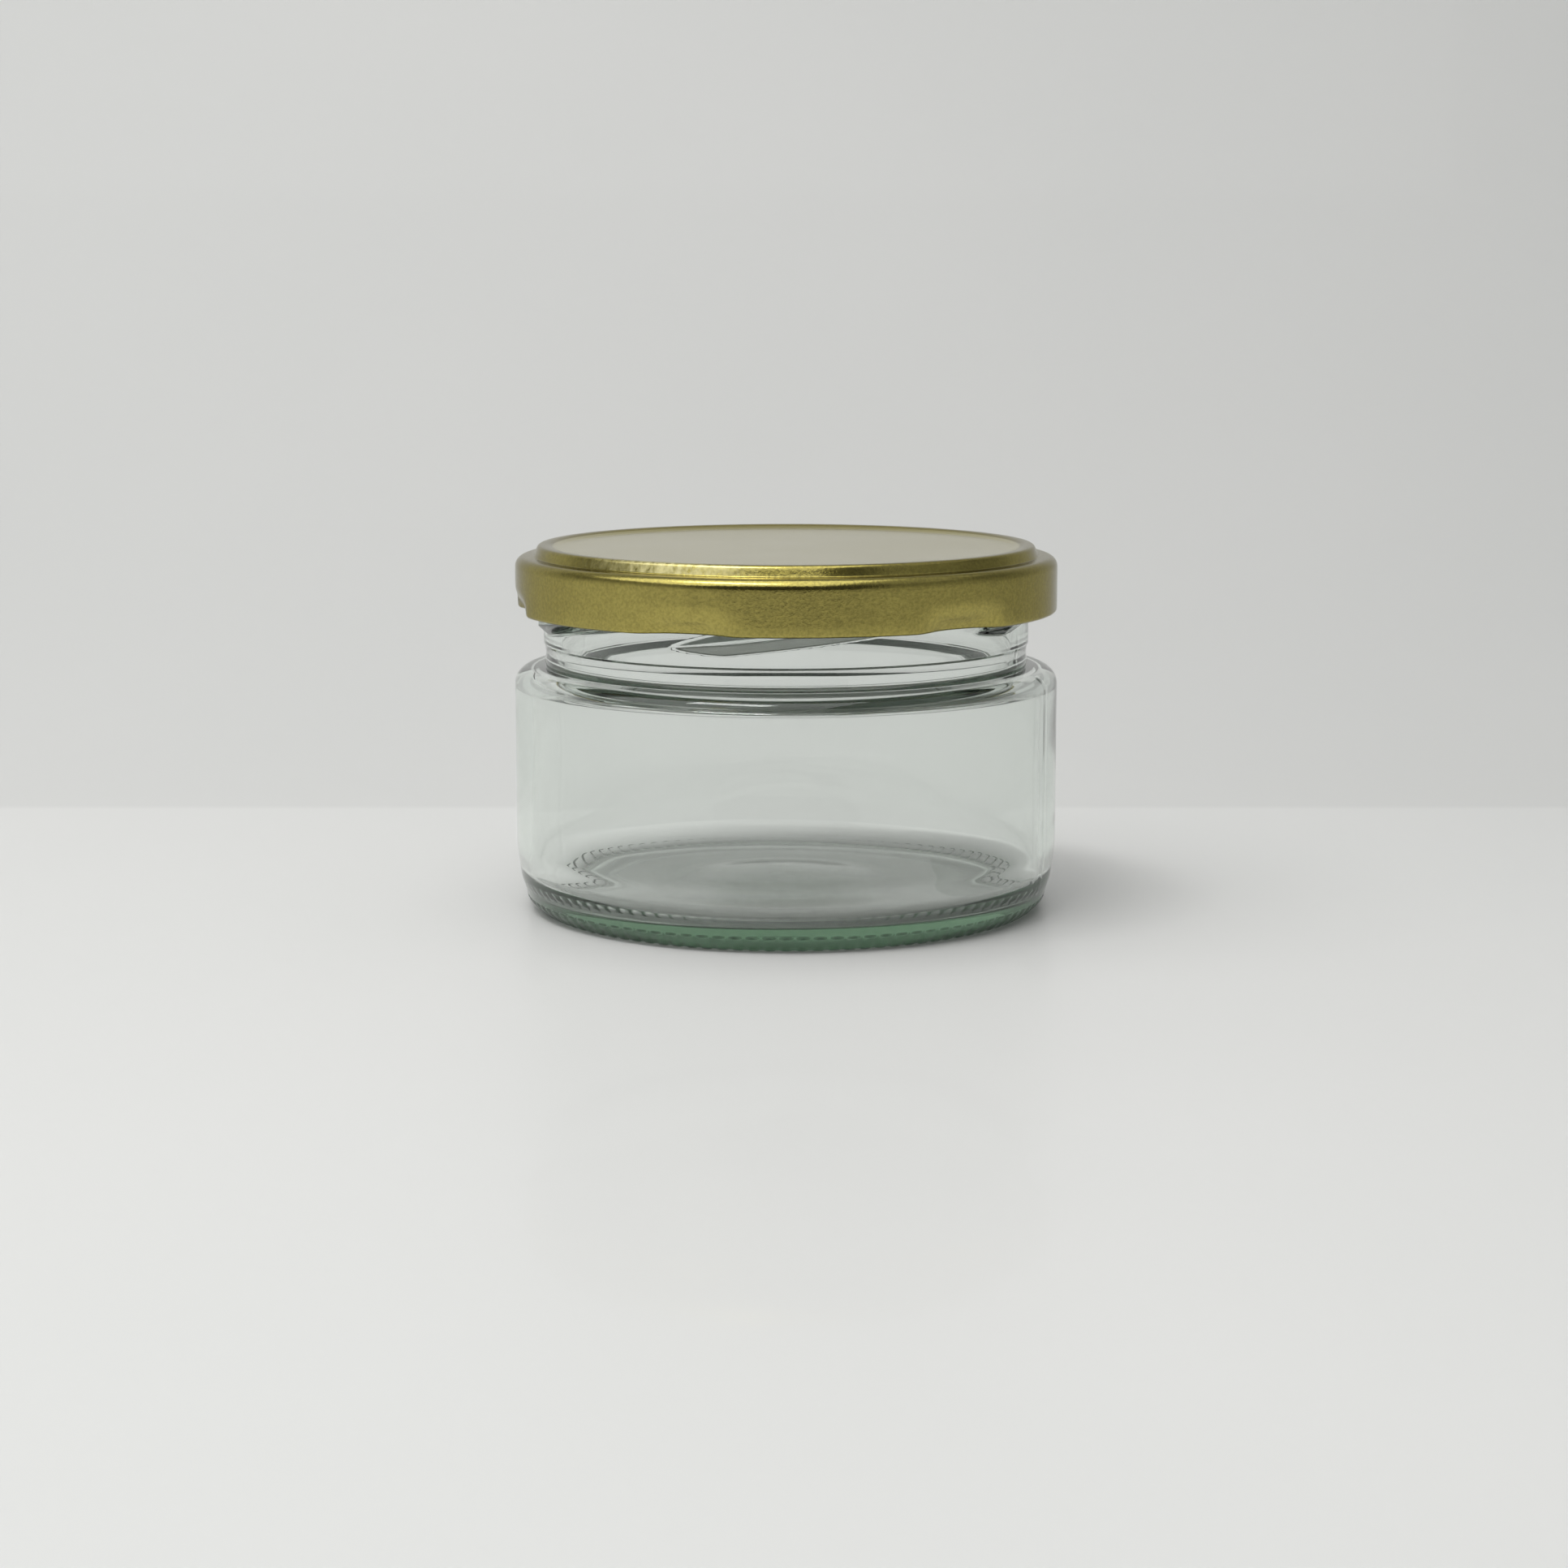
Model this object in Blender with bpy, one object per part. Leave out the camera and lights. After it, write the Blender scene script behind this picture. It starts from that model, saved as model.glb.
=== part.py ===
"""Squat round glass storage jar with a six-lug twist-off tinplate lid.

Frame: metres, +Z up, origin at the centre of the jar's bearing circle on the
table.  The front of the jar faces -Y.

Three physical pieces:
  glass_jar     one piece of moulded soda-lime glass: base with a push-up,
                heel, straight side wall, shoulder, neck and a six-start
                lug thread under the rim
  lid_shell     one pressed sheet of tinplate: recessed panel, stacking bead,
                ledge, skirt, and a curled hem pressed inwards at six lugs
  sealing_ring  ring of soft compound bonded in the lid's bead channel
"""

import math

import bmesh
import bpy
from mathutils import Vector

MM = 0.001
SEGMENTS = 72                      # columns round every turned piece

# ---- glass body ---------------------------------------------------------
BODY_R = 43.0                      # outer radius of the side wall
BODY_BORE_R = 40.35                # inner radius of the side wall
BEARING_R_IN, BEARING_R_OUT = 37.9, 39.2   # flat ring the jar stands on
PUSH_UP_R = 20.0                   # reach of the raised middle of the base
PUSH_UP_H = 1.45                   # its rise underneath
FLOOR_Z = 3.75                     # inner floor beside the corner
SHOULDER_Z = 33.45                 # where the side wall starts to turn in
NECK_R = 38.4                      # outer radius of the neck land
NECK_BORE_R = 35.9
WAIST_R, WAIST_Z = 38.04, 40.9     # shallow groove between shoulder and neck land
RIM_Z = 55.95                      # top of the glass

# ---- thread on the neck -------------------------------------------------
STARTS = 6
LEAD = 29.0                        # rise in one full turn, right-handed
THREAD_R = 40.1                    # radius of the crest
THREAD_ROOT_R = 37.5               # buried in the neck land
THREAD_FROM = -25.8                # lower end, degrees round from the front
THREAD_SPAN = 86.0
CREST_Z_FRONT = 47.21              # height of the crest's helix at 0 degrees
CREST_HALF = 0.26
UPPER_HALF = 1.40                  # half widths at the neck land
LOWER_HALF = 1.95
RUN_IN, RUN_OUT = 12.0, 10.0       # tapered ends, degrees
TRIM = {1: 14.0, 4: 14.0}          # these two starts begin later, beside the mould's parting line

# ---- lid ----------------------------------------------------------------
LID_R = 42.85                      # outer radius of the skirt
SHEET = 0.22                       # tinplate with its lacquers
LID_TOP_Z = 57.7                   # crest of the stacking bead
PANEL_Z = 57.12                    # slightly recessed middle panel
LEDGE_Z = 55.9
HEM_Z = 47.3                       # lower edge of the skirt
CURL_R = 0.55                      # radius of the curled hem
LUGS = 6
LUG_CENTRE = -21.0                 # first lug, degrees round from the front
LUG_HALF = 12.5
LUG_DEPTH = 2.1                    # how far a lug is pressed in

# ---- sealing ring -------------------------------------------------------
RING_R_IN, RING_R_OUT = 37.0, 39.0
RING_Z_LOW, RING_Z_HIGH = 56.3, 57.14


def material(name, color, metallic, roughness, alpha=1.0):
    mat = bpy.data.materials.new(name)
    mat.use_nodes = True
    bsdf = next(n for n in mat.node_tree.nodes if n.type == "BSDF_PRINCIPLED")
    bsdf.inputs["Base Color"].default_value = (*color, 1.0)
    bsdf.inputs["Metallic"].default_value = metallic
    bsdf.inputs["Roughness"].default_value = roughness
    bsdf.inputs["Alpha"].default_value = alpha
    mat.diffuse_color = (*color, alpha)
    mat.metallic = metallic
    mat.roughness = roughness
    return mat


def polar(r_mm, front_deg, z_mm):
    """Point at a radius and height, counted in degrees from the front (-Y) towards +X."""
    a = math.radians(front_deg)
    return Vector((r_mm * math.sin(a) * MM, -r_mm * math.cos(a) * MM, z_mm * MM))


def turned(name, rows, columns, mat, parent=None, origin=(0, 0, 0), axis_caps=True, sharp=35.0):
    """A closed turned piece.

    rows(i) gives the section, a list of (r, z), at column i; the same number
    of points in every column.  Where the section starts and ends on the axis
    the two ends are closed with fans, otherwise the section closes on itself.
    """
    bm = bmesh.new()
    place = Vector(origin)
    first = rows(0)
    count = len(first)
    rings = []
    for i in range(columns):
        section, deg = rows(i), column_angle(name, i, columns)
        ring = []
        for k, (r, z) in enumerate(section):
            if axis_caps and k in (0, count - 1):
                ring.append(None)
            else:
                ring.append(bm.verts.new(polar(r, deg, z) - place))
        rings.append(ring)
    if axis_caps:
        poles = {}
        for k in (0, count - 1):
            poles[k] = bm.verts.new(Vector((0, 0, first[k][1] * MM)) - place)
        for ring in rings:
            ring[0], ring[-1] = poles[0], poles[count - 1]
    last = count - 1 if axis_caps else count
    for i in range(columns):
        a, b = rings[i], rings[(i + 1) % columns]
        for k in range(last):
            m = (k + 1) % count
            quad = [a[k], b[k], b[m], a[m]]
            face = []
            for v in quad:
                if v not in face:
                    face.append(v)
            bm.faces.new(face)
    bmesh.ops.recalc_face_normals(bm, faces=bm.faces)
    mesh = bpy.data.meshes.new(name)
    bm.to_mesh(mesh)
    bm.free()
    mesh.shade_smooth()
    mesh.set_sharp_from_angle(angle=math.radians(sharp))
    obj = bpy.data.objects.new(name, mesh)
    obj.location = place
    bpy.context.scene.collection.objects.link(obj)
    mesh.materials.append(mat)
    if parent:
        obj.parent = parent
        obj.location = place - parent.location
    return obj


def column_angle(name, i, columns):
    """Lid columns start on a lug's centre, so every lug is cut the same way."""
    start = LUG_CENTRE if name == "lid_shell" else 90.0
    return start + 360.0 * i / columns


# ---- glass jar ----------------------------------------------------------

def jar_section(_column):
    outside = [(r, 1.05 + rise(r, PUSH_UP_H)) for r in (0.0, 4.0, 8.0, 11.0, 14.0, 17.0, 20.0)] + [
        (30.0, 0.95),
        (36.6, 0.58),
        (BEARING_R_IN, 0.0),
        (BEARING_R_OUT, 0.0),
        (40.2, 1.0),
        (41.4, 2.8),
        (42.2, 5.0),
        (42.8, 7.4),
        (BODY_R, 9.5),
        (BODY_R, SHOULDER_Z),
        (42.77, 34.93),
        (42.08, 36.27),
        (41.02, 37.33),
        (39.68, 38.02),
        (38.5, 38.26),
        (38.1, 38.6),
        (38.22, 39.15),
        (WAIST_R, WAIST_Z),
        (38.2, 42.0),
        (NECK_R, 42.4),
        (NECK_R, 54.3),
        (38.05, 55.4),
        (37.3, RIM_Z),
    ]
    inside = [
        (36.5, 55.65),
        (36.0, 54.9),
        (NECK_BORE_R, 53.8),
        (35.75, 39.9),
        (35.98, 39.15),
        (37.75, 37.35),
        (38.5, 36.85),
        (39.2, 36.6),
        (39.9, 36.05),
        (40.25, 35.3),
        (BODY_BORE_R, 34.4),
        (BODY_BORE_R, 7.4),
        (40.0, 5.7),
        (39.1, 4.4),
        (37.4, 3.82),
        (30.0, 3.68),
    ] + [(r, FLOOR_Z + rise(r, 1.35)) for r in (20.0, 17.0, 14.0, 11.0, 8.0, 4.0, 0.0)]
    return outside + inside


def rise(r, height):
    """The soft push-up of the base: full height on the axis, gone at PUSH_UP_R."""
    t = min(1.0, r / PUSH_UP_R)
    return height * (0.5 + 0.5 * math.cos(math.pi * t ** 1.35))


def ease(t):
    """Quarter-circle run from 0 to 1, steep at the start."""
    t = min(1.0, max(0.0, t))
    return math.sqrt(max(0.0, 1.0 - (1.0 - t) ** 2))


def pointed(t, power):
    """Run from 0 to 1 of the thread's pointed lower end."""
    return min(1.0, max(0.0, t)) ** power


def thread_bodies():
    """All six thread ridges as one mesh of six closed bodies, for the union with the neck."""
    bm = bmesh.new()
    stations = 22
    for start in range(STARTS):
        loops = []
        for i in range(stations):
            trim = TRIM.get(start, 0.0)
            along = trim + (THREAD_SPAN - trim) * (i / (stations - 1)) ** 1.25
            end = ease((THREAD_SPAN - along) / RUN_OUT)
            height = min(pointed((along - trim) / RUN_IN, 0.45), end)
            turn = THREAD_FROM + along
            z = CREST_Z_FRONT + LEAD * turn / 360.0
            crest = THREAD_ROOT_R + 0.35 + (THREAD_R - THREAD_ROOT_R - 0.35) * height
            spread = 0.10 + 0.90 * min(pointed((along - trim) / RUN_IN, 0.62), end)
            grow = (NECK_R - THREAD_ROOT_R) / (THREAD_R - NECK_R)
            up = (UPPER_HALF + (UPPER_HALF - CREST_HALF) * grow * 0.5) * spread
            low = (LOWER_HALF + (LOWER_HALF - CREST_HALF) * grow * 0.5) * spread
            half = CREST_HALF * spread
            deg = turn + 60.0 * start
            zz = z
            loops.append([
                bm.verts.new(polar(THREAD_ROOT_R, deg, zz - low)),
                bm.verts.new(polar(crest, deg, zz - half)),
                bm.verts.new(polar(crest, deg, zz + half)),
                bm.verts.new(polar(THREAD_ROOT_R, deg, zz + up)),
            ])
        for a, b in zip(loops, loops[1:]):
            for k in range(4):
                m = (k + 1) % 4
                bm.faces.new([a[k], a[m], b[m], b[k]])
        bm.faces.new(loops[0])
        bm.faces.new(list(reversed(loops[-1])))
    bmesh.ops.recalc_face_normals(bm, faces=bm.faces)
    mesh = bpy.data.meshes.new("thread_ridges")
    bm.to_mesh(mesh)
    bm.free()
    obj = bpy.data.objects.new("thread_ridges", mesh)
    obj.hide_render = True
    obj.display_type = "WIRE"
    bpy.context.scene.collection.objects.link(obj)
    return obj


# ---- lid ----------------------------------------------------------------

def lid_outside():
    """Outer face of the sheet from the panel's centre to the start of the hem."""
    return [
        (0.0, PANEL_Z),
        (35.5, PANEL_Z),
        (36.2, PANEL_Z + 0.12),
        (36.9, LID_TOP_Z - 0.18),
        (37.5, LID_TOP_Z),
        (39.15, LID_TOP_Z),
        (39.45, LID_TOP_Z - 0.24),
        (39.8, LEDGE_Z + 0.3),
        (40.1, LEDGE_Z + 0.08),
        (41.0, LEDGE_Z),
        (41.75, 55.72),
        (42.35, 55.32),
        (42.72, 54.7),
        (LID_R, 53.95),
        (LID_R, 51.6),
        (LID_R, 50.5),
        (LID_R, 49.3),
    ]


def offset(points, distance):
    """The same line moved to its right-hand side, with mitred corners."""
    moved = []
    for i, (r, z) in enumerate(points):
        normals = []
        for a, b in ((i - 1, i), (i, i + 1)):
            if 0 <= a and b < len(points):
                dr, dz = points[b][0] - points[a][0], points[b][1] - points[a][1]
                size = math.hypot(dr, dz)
                normals.append((dz / size, -dr / size))
        nr = sum(n[0] for n in normals) / len(normals)
        nz = sum(n[1] for n in normals) / len(normals)
        size2 = nr * nr + nz * nz
        moved.append((r + distance * nr / size2, z + distance * nz / size2))
    return moved


def lug_share(deg):
    """1 at a lug's centre, 0 outside it."""
    pitch = 360.0 / LUGS
    off = abs((deg - LUG_CENTRE + pitch / 2.0) % pitch - pitch / 2.0)
    if off >= LUG_HALF:
        return 0.0
    t = off / LUG_HALF
    return 0.5 + 0.5 * math.cos(math.pi * t ** 1.4)


def lid_section(column):
    deg = LUG_CENTRE + 360.0 * column / SEGMENTS
    share = lug_share(deg)
    outer = lid_outside()
    inner = offset(outer, SHEET)
    inner[0] = (0.0, PANEL_Z - SHEET)
    centre_r, centre_z = LID_R - CURL_R, HEM_Z + CURL_R
    curl = []
    for step in (0, 45, 90, 135, 180, 225):
        a = math.radians(-step)
        curl.append((centre_r + CURL_R * math.cos(a), centre_z + CURL_R * math.sin(a)))
    section = outer + curl + list(reversed(inner))
    shaped = []
    for r, z in section:
        if r > 41.0 and z < 51.6:
            drop = min(1.0, (51.6 - z) / (51.6 - 47.9))
            r -= LUG_DEPTH * drop ** 2 * share
        shaped.append((r, z))
    return shaped


# ---- sealing ring -------------------------------------------------------

def ring_section(_column):
    return [
        (RING_R_IN, RING_Z_LOW),
        (RING_R_OUT, RING_Z_LOW),
        (RING_R_OUT, 56.75),
        (38.6, RING_Z_HIGH),
        (37.75, RING_Z_HIGH),
        (37.25, 56.85),
    ]


def main():
    for obj in list(bpy.data.objects):
        bpy.data.objects.remove(obj, do_unlink=True)

    glass = material("glass_jar", (0.80, 0.86, 0.82), 0.0, 0.05, 0.35)
    gold = material("lid_shell", (0.58, 0.50, 0.20), 1.0, 0.30)
    compound = material("sealing_ring", (0.72, 0.71, 0.66), 0.0, 0.60)

    lift_axis = bpy.data.objects.new("lid_axis", None)
    lift_axis.empty_display_size = 0.02
    bpy.context.scene.collection.objects.link(lift_axis)

    jar = turned("glass_jar", jar_section, SEGMENTS, glass)
    ridges = thread_bodies()
    union = jar.modifiers.new("thread", "BOOLEAN")
    union.operation = "UNION"
    union.solver = "EXACT"
    union.object = ridges

    turned("lid_shell", lid_section, SEGMENTS, gold, parent=lift_axis)
    turned("sealing_ring", ring_section, SEGMENTS, compound, parent=lift_axis, axis_caps=False)


main()
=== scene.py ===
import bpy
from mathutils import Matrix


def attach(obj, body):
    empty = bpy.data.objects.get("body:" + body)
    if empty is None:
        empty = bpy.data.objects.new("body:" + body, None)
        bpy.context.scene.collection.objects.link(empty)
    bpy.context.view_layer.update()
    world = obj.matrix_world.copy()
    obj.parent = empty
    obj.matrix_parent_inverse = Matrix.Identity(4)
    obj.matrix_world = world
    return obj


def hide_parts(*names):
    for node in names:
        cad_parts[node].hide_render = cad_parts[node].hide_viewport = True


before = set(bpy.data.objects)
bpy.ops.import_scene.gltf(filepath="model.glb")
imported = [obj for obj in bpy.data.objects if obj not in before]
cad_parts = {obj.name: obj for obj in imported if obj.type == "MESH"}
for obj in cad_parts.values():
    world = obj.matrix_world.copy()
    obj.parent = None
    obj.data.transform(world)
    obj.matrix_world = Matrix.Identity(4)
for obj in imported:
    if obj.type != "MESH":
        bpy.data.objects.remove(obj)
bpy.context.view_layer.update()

import math

import bmesh
import bpy
from mathutils import Vector

MM = 0.001

# ---------------------------------------------------------------------------
# Small modelling helpers
# ---------------------------------------------------------------------------


def rounded(points, step=7.0, closed=False):
    """A line of (r, z) points with its corners rounded.

    points are (r, z, radius) in millimetres.  A corner of radius 0 stays sharp.
    """
    out = []
    count = len(points)
    for i, (r, z, rad) in enumerate(points):
        if rad <= 0 or (not closed and i in (0, count - 1)):
            out.append((r, z))
            continue
        p = Vector((r, z))
        a = Vector(points[i - 1][:2]) - p
        b = Vector(points[(i + 1) % count][:2]) - p
        la, lb = a.length, b.length
        a.normalize()
        b.normalize()
        cos_t = max(-1.0, min(1.0, a.dot(b)))
        t = math.acos(cos_t)
        turn = math.pi - t
        if turn < math.radians(0.5):
            out.append((r, z))
            continue
        cut = rad * math.tan(turn / 2.0)
        cut = min(cut, 0.49 * la, 0.49 * lb)
        radius = cut / math.tan(turn / 2.0)
        mid = (a + b).normalized()
        centre = p + mid * (radius / math.cos(turn / 2.0))
        start = p + a * cut
        end = p + b * cut
        a0 = math.atan2(start.y - centre.y, start.x - centre.x)
        a1 = math.atan2(end.y - centre.y, end.x - centre.x)
        d = (a1 - a0 + math.pi) % (2 * math.pi) - math.pi
        n = max(2, int(math.ceil(abs(math.degrees(d)) / step)))
        for k in range(n + 1):
            ang = a0 + d * k / n
            out.append((centre.x + radius * math.cos(ang), centre.y + radius * math.sin(ang)))
    return out


def subdivided(line, longest):
    """The same line with no piece longer than longest (a function of the piece's middle)."""
    out = [line[0]]
    for a, b in zip(line, line[1:]):
        size = math.hypot(b[0] - a[0], b[1] - a[1])
        most = longest((a[0] + b[0]) / 2, (a[1] + b[1]) / 2)
        n = max(1, int(math.ceil(size / most)))
        for k in range(1, n + 1):
            out.append((a[0] + (b[0] - a[0]) * k / n, a[1] + (b[1] - a[1]) * k / n))
    return out


def without_repeats(line, least=1e-4):
    out = [line[0]]
    for p in line[1:]:
        if math.hypot(p[0] - out[-1][0], p[1] - out[-1][1]) > least:
            out.append(p)
    return out


def front_polar(r, deg, z):
    """Millimetres and degrees round from the front (-Y) towards +X, to metres."""
    a = math.radians(deg)
    return (r * math.sin(a) * MM, -r * math.cos(a) * MM, z * MM)


def link(name, bm, sharp=None):
    bmesh.ops.recalc_face_normals(bm, faces=bm.faces)
    mesh = bpy.data.meshes.new(name)
    bm.to_mesh(mesh)
    bm.free()
    mesh.shade_smooth()
    if sharp:
        mesh.set_sharp_from_angle(angle=math.radians(sharp))
    obj = bpy.data.objects.new(name, mesh)
    bpy.context.scene.collection.objects.link(obj)
    return obj


def turned(name, line, columns, shape=None, fine=None, loop=False, slot_of=None, sharp=None):
    """A turned mesh.

    line     the section, (r, z) in millimetres; its ends lie on the axis unless loop
    columns  the number of columns round
    shape    shape(k, r, z, deg) gives the moved (r, z) of row k at an angle
    fine     fine(k) true gives row k twice as many columns
    """
    bm = bmesh.new()
    rows = []
    for k, (r, z) in enumerate(line):
        if not loop and k in (0, len(line) - 1):
            rows.append(("pole", [bm.verts.new((0, 0, z * MM))]))
            continue
        doubled = bool(fine and fine(k))
        n = columns * (2 if doubled else 1)
        ring = []
        for i in range(n):
            deg = 360.0 * i / n
            rr, zz = shape(k, r, z, deg) if shape else (r, z)
            ring.append(bm.verts.new(front_polar(rr, deg, zz)))
        rows.append(("fine" if doubled else "plain", ring))
    pairs = list(zip(range(len(rows)), range(1, len(rows))))
    if loop:
        pairs.append((len(rows) - 1, 0))
    for ka, kb in pairs:
        (ta, a), (tb, b) = rows[ka], rows[kb]
        index = slot_of(ka) if slot_of else 0
        faces = []
        if ta == "pole" or tb == "pole":
            pole, ring = (a[0], b) if ta == "pole" else (b[0], a)
            for i in range(len(ring)):
                faces.append([pole, ring[i], ring[(i + 1) % len(ring)]])
        elif len(a) == len(b):
            n = len(a)
            for i in range(n):
                j = (i + 1) % n
                faces.append([a[i], a[j], b[j], b[i]])
        else:
            small, big = (a, b) if len(a) < len(b) else (b, a)
            n, m = len(small), len(big)
            for i in range(n):
                j = (i + 1) % n
                faces.append([small[i], small[j], big[(2 * i + 2) % m], big[2 * i + 1], big[2 * i]])
        for verts in faces:
            bm.faces.new(verts).material_index = index
    return link(name, bm, sharp)


def smooth01(t):
    t = max(0.0, min(1.0, t))
    return t * t * (3 - 2 * t)


def quarter(t):
    t = max(0.0, min(1.0, t))
    return math.sqrt(max(0.0, 1 - (1 - t) ** 2))


# ---------------------------------------------------------------------------
# Glass jar
# ---------------------------------------------------------------------------
KNURLS = 102
GLASS_COLUMNS = 4 * KNURLS
NECK_R = 38.4
THREAD_H = 1.7
LEAD = 29.0
THREAD_FROM, THREAD_SPAN = -25.8, 86.0
CREST_Z_FRONT = 47.21
THREAD_TRIM = 14.0
SEAM = 360.0 * 78 / GLASS_COLUMNS


def dome(r, top, reach):
    """A soft rise of the given height towards the axis, gone at radius reach."""
    t = min(1.0, r / reach)
    return top * (0.5 + 0.5 * math.cos(math.pi * t ** 1.35))


glass_outer = [(float(r), 1.05 + dome(r, 1.45, 20.0), 0) for r in range(0, 21)] + [
    (30.0, 0.95, 6.0),
    (36.8, 0.60, 2.0),
    (37.9, 0.02, 0.5),
    (39.2, 0.02, 0.7),
    (41.15, 1.75, 4.0),
    (42.35, 5.3, 7.0),
    (43.0, 10.2, 10.0),
    (43.0, 38.25, 4.8),
    (38.08, 38.62, 0.12),
    (38.22, 39.15, 0.4),
    (38.04, 40.90, 2.0),
    (38.21, 42.05, 0.08),
    (38.40, 42.40, 0.08),
    (38.4, 43.1, 0.4),
    (38.4, 55.95, 1.25),
    (37.0, 55.97, 0.9),
]
glass_inner = [
    (35.95, 55.2, 1.4),
    (35.7, 39.3, 1.2),
    (38.6, 36.4, 1.5),
    (40.45, 36.1, 2.2),
    (40.4, 3.85, 3.6),
    (31.0, 3.65, 8.0),
] + [(float(r), 3.75 + dome(r, 1.35, 19.0), 0) for r in range(20, -1, -1)]


def glass_longest(r, z):
    if r > 38.0 and 43.0 < z < 54.0:
        return 0.22
    if r > 36.5 and z < 3.0:
        return 0.20
    if r > 37 and z < 8:
        return 0.6
    if r < 1:
        return 40
    return 3.0


outer_line = without_repeats(subdivided(rounded(glass_outer, 4.0), glass_longest))
inner_line = without_repeats(subdivided(rounded(glass_inner, 4.0), lambda r, z: 3.0))
glass_line = outer_line + inner_line
OUTER_ROWS = len(outer_line)


def ridge(deg, z):
    """Height in millimetres of the thread above the neck at this place."""
    best = 0.0
    for start in range(6):
        along = (deg - THREAD_FROM - 60.0 * start) % 360.0
        if along > THREAD_SPAN:
            continue
        trim = THREAD_TRIM if start in (1, 4) else 0.0
        if along <= trim:
            continue
        t = min(1.0, (along - trim) / 12.0)
        ending = quarter((THREAD_SPAN - along) / 10.0)
        wide = min(t ** 0.70, ending)
        grow = min(t ** 0.80, ending)
        crest = CREST_Z_FRONT + LEAD * (THREAD_FROM + along) / 360.0
        d = z - crest
        half = 0.26 * wide
        width = (1.40 if d > 0 else 1.95) * wide
        x = (abs(d) - half) / max(0.05, width - half)
        if x >= 1:
            continue
        flank = 1.0 if x <= 0 else 1.0 - x
        flank = 0.86 * flank + 0.14 * smooth01(flank)
        best = max(best, THREAD_H * grow * flank)
    return best


def glass_shape(k, r, z, deg):
    if k >= OUTER_ROWS:
        # the inner face of a moulded jar is never quite round or even
        if 9.0 < z < 36.0 and r > 39:
            a = math.radians(deg)
            r += 0.10 * math.sin(2 * a + 0.6) + 0.06 * math.sin(3 * a + z * 0.10) - 0.05 * math.sin(z * 0.33)
        elif z <= 9.0 and r < 38:
            a = math.radians(deg)
            z += 0.12 * math.sin(2 * a + 1.1) * (r / 38.0) + 0.05 * math.sin(3 * a) * (r / 38.0)
        return r, z
    if r > 38.0 and 43.0 < z < 54.2:
        r += ridge(deg, z)
    if r > 37.5 and 2.6 < z < 46.0:
        # mould seams, one on each side
        off = min(abs(deg - SEAM), abs(deg - SEAM - 180.0))
        r += 0.05 * max(0.0, 1.0 - off / 0.85) * smooth01((z - 2.6) / 3.0) * smooth01((46.0 - z) / 2.0)
    if r > 36.9 and z < 2.9:
        # short radial bars on the bearing ring, with rounded ends low on the heel
        wave = 0.5 + 0.5 * math.cos(math.radians(deg) * KNURLS)
        bar = smooth01((wave - 0.10) / 0.55)
        if r < 38.5:
            share = smooth01((r - 37.0) / 0.7) if z < 1.0 else 0.0
            z += 0.11 * (1.0 - bar) * share
        else:
            end = smooth01((2.45 + 0.12 * bar - z) / 0.40)
            z += 0.14 * (1.0 - bar) * smooth01((0.9 - z) / 0.7)
            r += 0.19 * bar * end * smooth01((z - 0.05) / 0.5)
    return r, z


def glass_fine(k):
    if k >= OUTER_ROWS:
        return False
    r, z = glass_line[k]
    return r > 36.9 and z < 2.9


jar = turned("jar_glass", glass_line, GLASS_COLUMNS, shape=glass_shape, fine=glass_fine)

# ---------------------------------------------------------------------------
# Lid
# ---------------------------------------------------------------------------
LID_COLUMNS = 360
SHEET = 0.22
LUG_CENTRE, LUG_HALF, LUG_DEPTH = -21.0, 12.5, 2.1

lid_top = [
    (0.0, 57.12, 0),
    (35.90, 57.12, 1.4),
    (37.70, 57.722, 2.6),
    (39.15, 57.67, 0.75),
    (39.85, 56.02, 0.22),
    (42.85, 55.86, 1.95),
    (42.85, 49.2, 0),
]
lid_line_out = without_repeats(subdivided(rounded(lid_top, 8.0), lambda r, z: 0.45 if r > 35 else 9.0))


def shifted(line, distance):
    out = []
    for i, (r, z) in enumerate(line):
        a = line[max(0, i - 1)]
        b = line[min(len(line) - 1, i + 1)]
        dr, dz = b[0] - a[0], b[1] - a[1]
        size = math.hypot(dr, dz)
        out.append((r + distance * dz / size, z - distance * dr / size))
    return out


lid_line_in = shifted(lid_line_out, SHEET)
lid_line_in[0] = (0.0, 57.12 - SHEET)
curl = []
for step in range(0, 301, 15):
    # the hem is rolled inwards, out of the skirt and back up to it
    a = math.radians(-step)
    tight = 0.55 - 0.10 * smooth01((step - 200) / 100.0)
    curl.append((42.30 + tight * math.cos(a), 47.86 + tight * math.sin(a)))
lid_line = lid_line_out + curl + [(42.5, 48.9)] + list(reversed(lid_line_in))[1:]
LID_OUT_ROWS = len(lid_line_out) + len(curl)


def lid_share(deg):
    off = abs((deg - LUG_CENTRE + 30.0) % 60.0 - 30.0)
    if off >= LUG_HALF:
        return 0.0
    t = off / LUG_HALF
    return 0.5 + 0.5 * math.cos(math.pi * t ** 1.4)


def lid_shape(k, r, z, deg):
    if r > 41.0 and z < 52.5:
        share = lid_share(deg)
        drop = max(0.0, min(1.0, (51.6 - z) / (51.6 - 47.9)))
        r -= LUG_DEPTH * (drop ** 2.0) * share
        z += 0.12 * share * (drop ** 2)
    if r > 41.5:
        a = math.radians(deg)
        r += 0.05 * math.sin(2 * a + 0.8) + 0.03 * math.sin(5 * a)
    return r, z


lid = turned("lid_tinplate", lid_line, LID_COLUMNS, shape=lid_shape,
             slot_of=lambda k: 1 if k >= LID_OUT_ROWS else (2 if lid_line[k][0] < 36.60 else 0))

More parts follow.
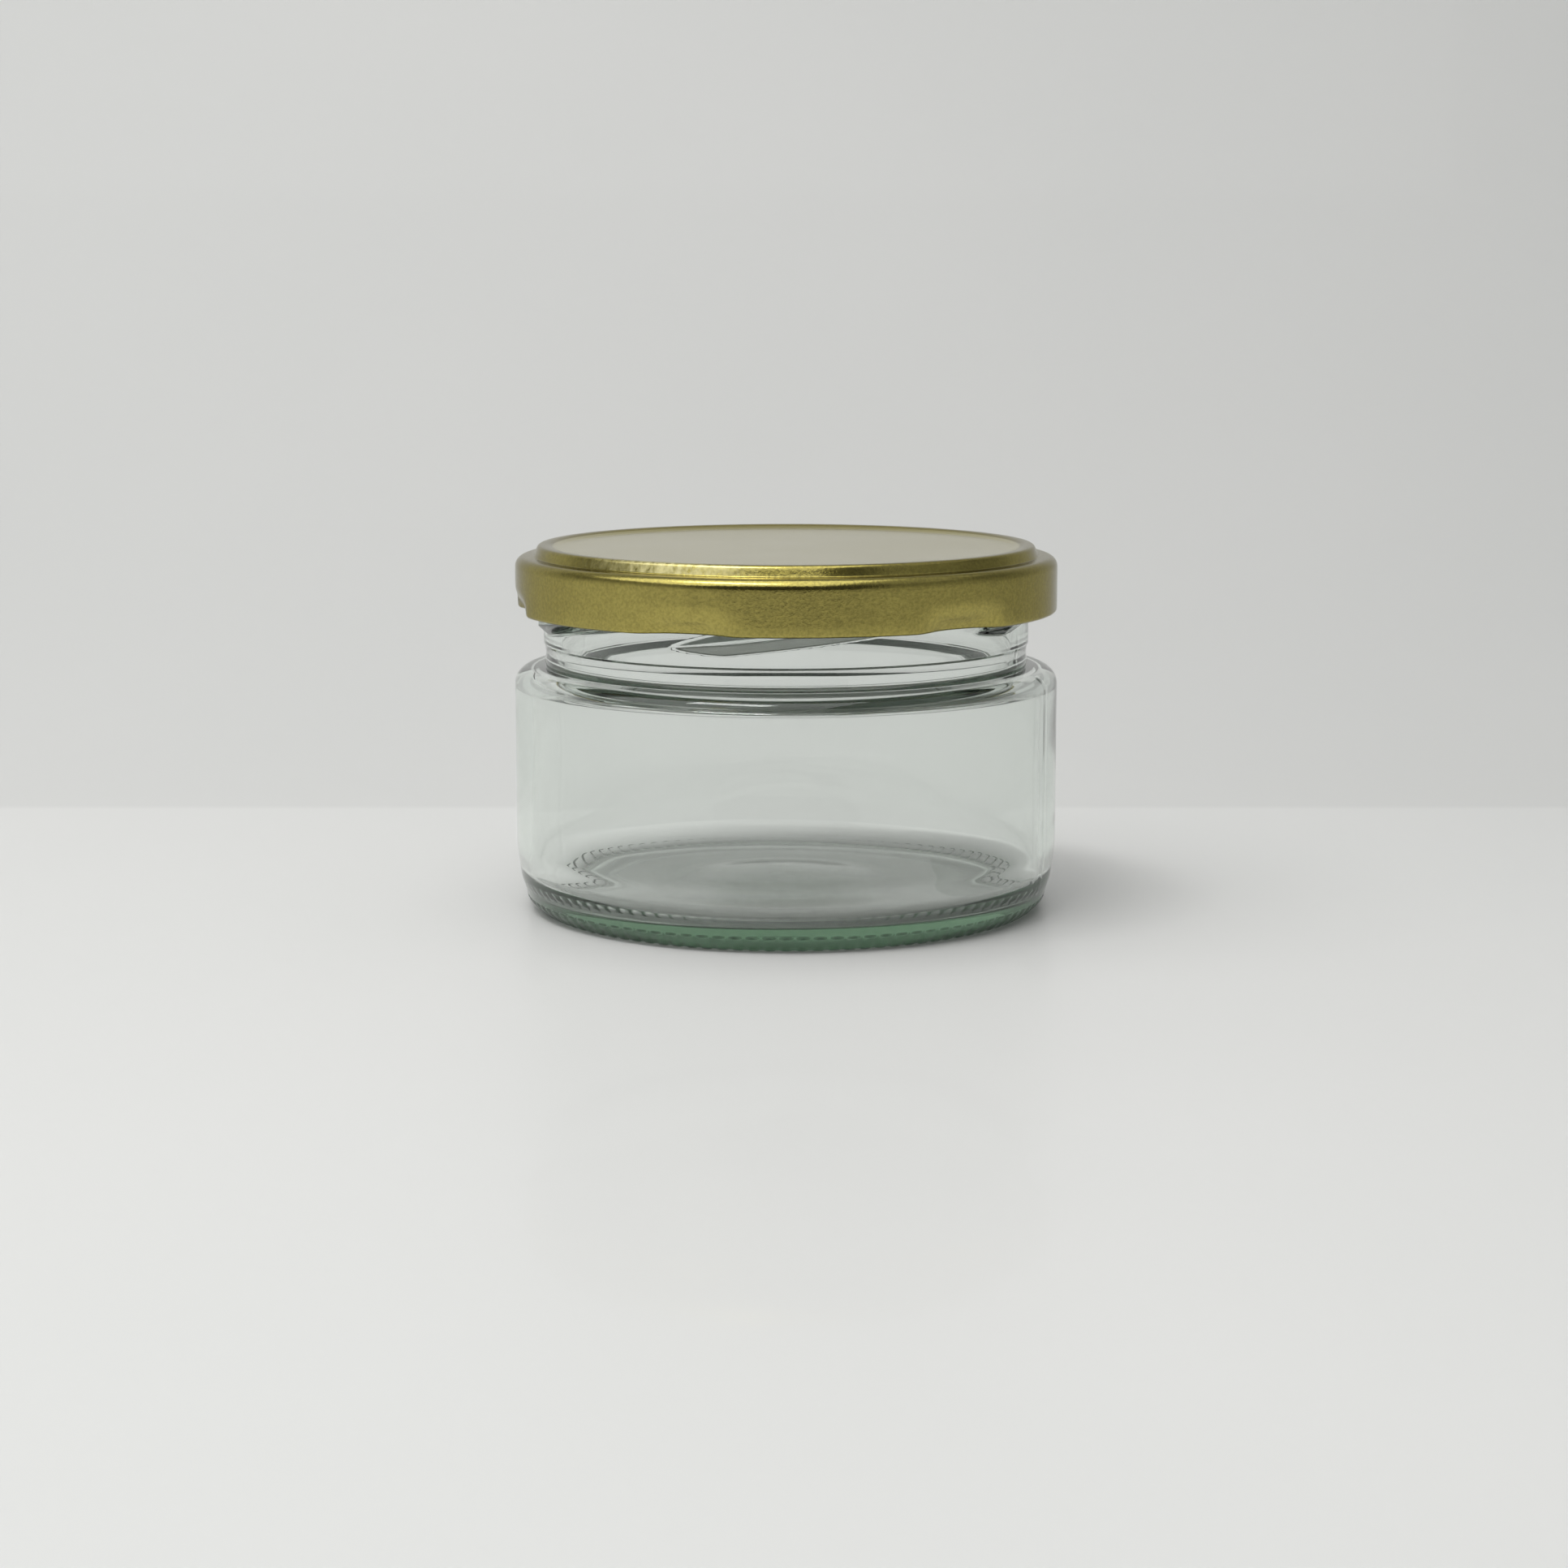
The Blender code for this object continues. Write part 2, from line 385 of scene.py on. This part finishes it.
# ---------------------------------------------------------------------------
# Sealing ring
# ---------------------------------------------------------------------------
ring_line = rounded([
    (36.95, 56.32, 0.2),
    (37.30, 56.42, 0.6),
    (37.80, 56.30, 0.3),
    (38.98, 56.26, 0.25),
    (39.02, 56.80, 0.25),
    (38.75, 57.18, 0.3),
    (37.65, 57.18, 0.3),
    (37.10, 56.80, 0.25),
], 15.0, closed=True)
ring = turned("seal_compound", without_repeats(ring_line), 240, loop=True)

# ---------------------------------------------------------------------------
# Materials
# ---------------------------------------------------------------------------


def material(name):
    mat = bpy.data.materials.new(name)
    mat.use_nodes = True
    nt = mat.node_tree
    nt.nodes.clear()
    out = nt.nodes.new("ShaderNodeOutputMaterial")
    bsdf = nt.nodes.new("ShaderNodeBsdfPrincipled")
    nt.links.new(bsdf.outputs["BSDF"], out.inputs["Surface"])
    return mat, nt, bsdf, out


def node(nt, kind, **values):
    n = nt.nodes.new(kind)
    for key, value in values.items():
        if key.startswith("in_"):
            n.inputs[key[3:].replace("_", " ")].default_value = value
        else:
            setattr(n, key, value)
    return n


def math_node(nt, op, a, b=None, clamp=False):
    n = nt.nodes.new("ShaderNodeMath")
    n.operation = op
    n.use_clamp = clamp
    for i, v in enumerate((a, b)):
        if v is None:
            continue
        if hasattr(v, "is_linked") or hasattr(v, "links"):
            nt.links.new(v, n.inputs[i])
        else:
            n.inputs[i].default_value = v
    return n.outputs[0]


def ramp(nt, fac, stops, interpolation="LINEAR"):
    n = nt.nodes.new("ShaderNodeValToRGB")
    n.color_ramp.interpolation = interpolation
    els = n.color_ramp.elements
    while len(els) > 1:
        els.remove(els[-1])
    els[0].position, els[0].color = stops[0][0], (*stops[0][1], 1)
    for pos, col in stops[1:]:
        e = els.new(pos)
        e.color = (*col, 1)
    nt.links.new(fac, n.inputs["Fac"])
    return n.outputs["Color"]


def noise(nt, coord, scale, detail=3.0, rough=0.5, stretch=None):
    vec = coord
    if stretch:
        m = nt.nodes.new("ShaderNodeMapping")
        m.inputs["Scale"].default_value = stretch
        nt.links.new(coord, m.inputs["Vector"])
        vec = m.outputs["Vector"]
    n = nt.nodes.new("ShaderNodeTexNoise")
    n.inputs["Scale"].default_value = scale
    n.inputs["Detail"].default_value = detail
    n.inputs["Roughness"].default_value = rough
    nt.links.new(vec, n.inputs["Vector"])
    return n.outputs["Fac"]


def bump(nt, height, strength, distance, normal=None):
    b = nt.nodes.new("ShaderNodeBump")
    b.inputs["Strength"].default_value = strength
    b.inputs["Distance"].default_value = distance
    nt.links.new(height, b.inputs["Height"])
    if normal:
        nt.links.new(normal, b.inputs["Normal"])
    return b.outputs["Normal"]


# -- glass ------------------------------------------------------------------
glass, nt, bsdf, out = material("clear_glass")
bsdf.inputs["Base Color"].default_value = (1, 1, 1, 1)
bsdf.inputs["Transmission Weight"].default_value = 1.0
bsdf.inputs["IOR"].default_value = 1.52
coord = nt.nodes.new("ShaderNodeTexCoord").outputs["Object"]
wavy = noise(nt, coord, 38.0, 2.0, 0.45)
rough = math_node(nt, "MULTIPLY", noise(nt, coord, 120.0, 4.0, 0.6), 0.012)
# the underside inside the bearing ring is left matt by the stippled bottom plate
place = nt.nodes.new("ShaderNodeSeparateXYZ")
nt.links.new(coord, place.inputs[0])
reach = nt.nodes.new("ShaderNodeVectorMath")
reach.operation = "LENGTH"
flat = nt.nodes.new("ShaderNodeVectorMath")
flat.operation = "MULTIPLY"
flat.inputs[1].default_value = (1.0, 1.0, 0.0)
nt.links.new(coord, flat.inputs[0])
nt.links.new(flat.outputs[0], reach.inputs[0])
low = math_node(nt, "LESS_THAN", place.outputs["Z"], 0.0036)
within = math_node(nt, "LESS_THAN", reach.outputs["Value"], 0.0372)
foot = math_node(nt, "LESS_THAN", place.outputs["Z"], 0.0023)
under = math_node(nt, "MAXIMUM", math_node(nt, "MULTIPLY", low, within), foot)
matt = math_node(nt, "MULTIPLY", under, 0.20)
rough = math_node(nt, "ADD", rough, matt)
nt.links.new(rough, bsdf.inputs["Roughness"])
# the base is tinted darker green towards its middle: painted shade standing in for the shadowed floor seen through
# it, not a thicker wall
middle = nt.nodes.new("ShaderNodeMapRange")
middle.interpolation_type = "SMOOTHSTEP"
middle.inputs["From Min"].default_value = 0.006
middle.inputs["From Max"].default_value = 0.034
middle.inputs["To Min"].default_value = 1.0
middle.inputs["To Max"].default_value = 0.15
nt.links.new(reach.outputs["Value"], middle.inputs["Value"])
painted_shade_amount = math_node(nt, "MULTIPLY", middle.outputs["Result"], math_node(nt, "MULTIPLY", low, within))
# painted shade: the base colour goes darker green towards the middle of the base
painted_shade_tint = nt.nodes.new("ShaderNodeMix")
painted_shade_tint.data_type = "RGBA"
nt.links.new(painted_shade_amount, painted_shade_tint.inputs["Factor"])
painted_shade_tint.inputs[6].default_value = (1, 1, 1, 1)
painted_shade_tint.inputs[7].default_value = (0.78, 0.89, 0.77, 1)
nt.links.new(painted_shade_tint.outputs[2], bsdf.inputs["Base Color"])
nt.links.new(bump(nt, wavy, 0.10, 0.0006), bsdf.inputs["Normal"])
absorb = nt.nodes.new("ShaderNodeVolumeAbsorption")
absorb.inputs["Color"].default_value = (0.24, 0.50, 0.30, 1)
absorb.inputs["Density"].default_value = 29.5
nt.links.new(absorb.outputs["Volume"], out.inputs["Volume"])

# -- gold-lacquered tinplate -------------------------------------------------
def gold_material(name, low_tone, high_tone, rough_from, coat, grain, scuff_and_highlight):
    mat, nt, bsdf, out = material(name)
    coord = nt.nodes.new("ShaderNodeTexCoord").outputs["Object"]
    fine = noise(nt, coord, 2100.0, 2.0, 0.6)
    peel = noise(nt, coord, 420.0, 3.0, 0.55)
    drawn = noise(nt, coord, 260.0, 3.0, 0.55, (1.0, 1.0, 0.12))
    cloud = noise(nt, coord, 45.0, 4.0, 0.6)
    speck = math_node(nt, "MULTIPLY", math_node(nt, "SUBTRACT", fine, 0.5), 1.3 * grain)
    tone = math_node(nt, "MULTIPLY_ADD", math_node(nt, "SUBTRACT", drawn, 0.5), 0.40)
    nt.links.new(cloud, nt.nodes[-2].inputs[2])
    tone = math_node(nt, "ADD", tone, speck)
    tint = ramp(nt, tone, [(0.30, low_tone), (0.70, high_tone)])
    nt.links.new(tint, bsdf.inputs["Base Color"])
    bsdf.inputs["Metallic"].default_value = 1.0
    rough = math_node(nt, "MULTIPLY_ADD", cloud, 0.10)
    nt.nodes[-1].inputs[2].default_value = rough_from
    if scuff_and_highlight:
        # a scuffed stretch on the wall of the stacking bead, left of the front: rougher, and lightened in colour as
        # a painted highlight
        place = nt.nodes.new("ShaderNodeSeparateXYZ")
        nt.links.new(coord, place.inputs[0])
        turn = math_node(nt, "ARCTAN2", place.outputs["X"], math_node(nt, "MULTIPLY", place.outputs["Y"], -1.0))
        near = math_node(nt, "ABSOLUTE", math_node(nt, "ADD", turn, 0.50))
        near = math_node(nt, "SUBTRACT", 1.0, math_node(nt, "MULTIPLY", near, 2.4), clamp=True)
        near = math_node(nt, "MULTIPLY", near, math_node(nt, "GREATER_THAN", place.outputs["Z"], 0.0562))
        streak = math_node(nt, "SUBTRACT", noise(nt, coord, 1100.0, 3.0, 0.6, (1.0, 1.0, 0.55)), 0.30)
        streak = math_node(nt, "MAXIMUM", math_node(nt, "MULTIPLY", streak, 3.0), 0.0)
        wear_and_highlight = math_node(nt, "MULTIPLY", near, streak, clamp=True)
        rough = math_node(nt, "ADD", rough, math_node(nt, "MULTIPLY", wear_and_highlight, 0.45), clamp=True)
        # painted highlight: the scuffed stretch's colour is lightened towards pale gold
        painted_highlight_mix = nt.nodes.new("ShaderNodeMix")
        painted_highlight_mix.data_type = "RGBA"
        nt.links.new(wear_and_highlight, painted_highlight_mix.inputs["Factor"])
        nt.links.new(tint, painted_highlight_mix.inputs[6])
        painted_highlight_mix.inputs[7].default_value = (0.80, 0.74, 0.40, 1)
        nt.links.new(painted_highlight_mix.outputs[2], bsdf.inputs["Base Color"])
    nt.links.new(rough, bsdf.inputs["Roughness"])
    n1 = bump(nt, peel, 0.30 * grain, 0.00010)
    n2 = bump(nt, fine, 0.45 * grain, 0.00005, n1)
    n3 = bump(nt, drawn, 0.20 * grain, 0.00010, n2)
    nt.links.new(n3, bsdf.inputs["Normal"])
    bsdf.inputs["Coat Weight"].default_value = coat
    bsdf.inputs["Coat Roughness"].default_value = 0.14
    bsdf.inputs["Coat IOR"].default_value = 1.5
    return mat, bsdf


gold, bsdf = gold_material("gold_lacquer", (0.31, 0.262, 0.062), (0.42, 0.358, 0.086), 0.16, 0.50, 1.0, True)
bsdf.inputs["Specular Tint"].default_value = (0.48, 0.46, 0.40, 1)
panel, bsdf = gold_material("gold_lacquer_panel", (0.37, 0.32, 0.085), (0.41, 0.35, 0.095), 0.19, 0.45, 0.35, False)

# -- inside of the lid: pale food-safe lacquer --------------------------------
inner, nt, bsdf, out = material("inner_lacquer")
coord = nt.nodes.new("ShaderNodeTexCoord").outputs["Object"]
cloud = noise(nt, coord, 60.0, 4.0, 0.6)
nt.links.new(ramp(nt, cloud, [(0.3, (0.52, 0.53, 0.50)), (0.7, (0.62, 0.63, 0.60))]), bsdf.inputs["Base Color"])
bsdf.inputs["Metallic"].default_value = 0.5
bsdf.inputs["Roughness"].default_value = 0.35
nt.links.new(bump(nt, noise(nt, coord, 500.0, 2.0, 0.5), 0.15, 0.00006), bsdf.inputs["Normal"])

# -- sealing compound ----------------------------------------------------------
seal, nt, bsdf, out = material("seal_plastisol")
coord = nt.nodes.new("ShaderNodeTexCoord").outputs["Object"]
cloud = noise(nt, coord, 90.0, 4.0, 0.6)
nt.links.new(ramp(nt, cloud, [(0.3, (0.62, 0.61, 0.56)), (0.7, (0.74, 0.73, 0.68))]), bsdf.inputs["Base Color"])
bsdf.inputs["Roughness"].default_value = 0.45
bsdf.inputs["Subsurface Weight"].default_value = 0.1
bsdf.inputs["Subsurface Scale"].default_value = 0.001
nt.links.new(bump(nt, noise(nt, coord, 900.0, 2.0, 0.5), 0.2, 0.00005), bsdf.inputs["Normal"])

jar.data.materials.append(glass)
lid.data.materials.append(gold)
lid.data.materials.append(inner)
lid.data.materials.append(panel)
ring.data.materials.append(seal)

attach(jar, "jar")
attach(lid, "lid")
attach(ring, "ring")
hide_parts("glass_jar")
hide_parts("lid_shell")
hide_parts("sealing_ring")

# ---------------------------------------------------------------------------
# Floor and backdrop: one white sweep
# ---------------------------------------------------------------------------


def sweep_height(x, y):
    h = 0.0
    b = max(0.0, y - 0.092)
    h += 2.4 * b * b if b < 0.45 else 2.4 * 0.45 ** 2 + 2.16 * (b - 0.45)
    s = max(0.0, abs(x) - 0.9)
    h += 0.9 * s * s
    return h


bm = bmesh.new()
xs = [-2.4 + 4.8 * i / 96 for i in range(97)]
ys = [-2.4 + 2.48 * i / 31 for i in range(32)] + [0.08 + 0.012 * i for i in range(1, 12)] + [0.22 + 0.68 * i / 24 for i in range(25)]
grid = [[bm.verts.new((x, y, sweep_height(x, y))) for x in xs] for y in ys]
for a, b in zip(grid, grid[1:]):
    for i in range(len(xs) - 1):
        bm.faces.new([a[i], a[i + 1], b[i + 1], b[i]])
sweep = link("sweep", bm)
table, nt, bsdf, out = material("white_table")
coord = nt.nodes.new("ShaderNodeTexCoord").outputs["Object"]
cloud = noise(nt, coord, 5.0, 3.0, 0.5)
front_tone = ramp(nt, cloud, [(0.3, (0.745, 0.75, 0.74)), (0.7, (0.765, 0.765, 0.755))])
back_tone = ramp(nt, cloud, [(0.3, (0.68, 0.685, 0.675)), (0.7, (0.70, 0.702, 0.692))])
place = nt.nodes.new("ShaderNodeSeparateXYZ")
nt.links.new(coord, place.inputs[0])
along = nt.nodes.new("ShaderNodeMapRange")
along.inputs["From Min"].default_value = 0.0895
along.inputs["From Max"].default_value = 0.0935
nt.links.new(place.outputs["Y"], along.inputs["Value"])
mix = nt.nodes.new("ShaderNodeMix")
mix.data_type = "RGBA"
nt.links.new(along.outputs["Result"], mix.inputs["Factor"])
nt.links.new(front_tone, mix.inputs[6])
nt.links.new(back_tone, mix.inputs[7])
nt.links.new(mix.outputs[2], bsdf.inputs["Base Color"])
bsdf.inputs["Roughness"].default_value = 0.40
bsdf.inputs["Specular IOR Level"].default_value = 0.20
bsdf.inputs["Coat Weight"].default_value = 0.10
bsdf.inputs["Coat Roughness"].default_value = 0.05
sweep.data.materials.append(table)

# ---------------------------------------------------------------------------
# World and lights
# ---------------------------------------------------------------------------
world = bpy.data.worlds.new("studio")
bpy.context.scene.world = world
world.use_nodes = True
nt = world.node_tree
nt.nodes.clear()
wout = nt.nodes.new("ShaderNodeOutputWorld")
bg = nt.nodes.new("ShaderNodeBackground")
nt.links.new(bg.outputs[0], wout.inputs[0])
wc = nt.nodes.new("ShaderNodeTexCoord").outputs["Generated"]
dot = nt.nodes.new("ShaderNodeVectorMath")
dot.operation = "DOT_PRODUCT"
nt.links.new(wc, dot.inputs[0])
dot.inputs[1].default_value = (0.0, -0.97, 0.243)
front = ramp(nt, dot.outputs["Value"], [(0.0, (0.42, 0.425, 0.42)), (0.50, (0.34, 0.345, 0.34)), (0.80, (0.07, 0.072, 0.07)), (1.0, (0.05, 0.05, 0.05))], "EASE")
nt.links.new(front, bg.inputs["Color"])
bg.inputs["Strength"].default_value = 1.0


def area(name, place, target, size, size_y, power, color=(1, 1, 1)):
    light = bpy.data.lights.new(name, "AREA")
    light.shape = "RECTANGLE"
    light.size, light.size_y = size, size_y
    light.energy = power
    light.color = color
    obj = bpy.data.objects.new(name, light)
    obj.location = place
    direction = Vector(target) - Vector(place)
    obj.rotation_mode = "QUATERNION"
    obj.rotation_quaternion = direction.to_track_quat("-Z", "Y")
    bpy.context.scene.collection.objects.link(obj)
    return obj


area("soft", (-0.38, -0.42, 1.0), (-0.38, -0.42, 0.0), 1.45, 1.40, 9.5, (1.0, 0.998, 0.99))
area("key", (-0.26, -0.30, 0.96), (0, 0, 0.03), 0.46, 0.18, 2.6, (1.0, 0.998, 0.99))

# ---------------------------------------------------------------------------
# Camera
# ---------------------------------------------------------------------------
cam_data = bpy.data.cameras.new("camera")
cam_data.sensor_width = 36.0
cam_data.lens = 4000.0 / 1932.0 * 36.0
cam_data.clip_start, cam_data.clip_end = 0.01, 20.0
cam = bpy.data.objects.new("camera", cam_data)
cam.location = (-0.00032, -0.5132, 0.1011)
cam.rotation_euler = (math.radians(90.0 - 9.08), 0.0, 0.0)
bpy.context.scene.collection.objects.link(cam)
scene = bpy.context.scene
scene.camera = cam
scene.view_settings.view_transform = "Standard"
scene.view_settings.look = "None"
scene.cycles.use_denoising = True
scene.cycles.max_bounces = 24
scene.cycles.transmission_bounces = 20
scene.cycles.glossy_bounces = 8
scene.cycles.diffuse_bounces = 6
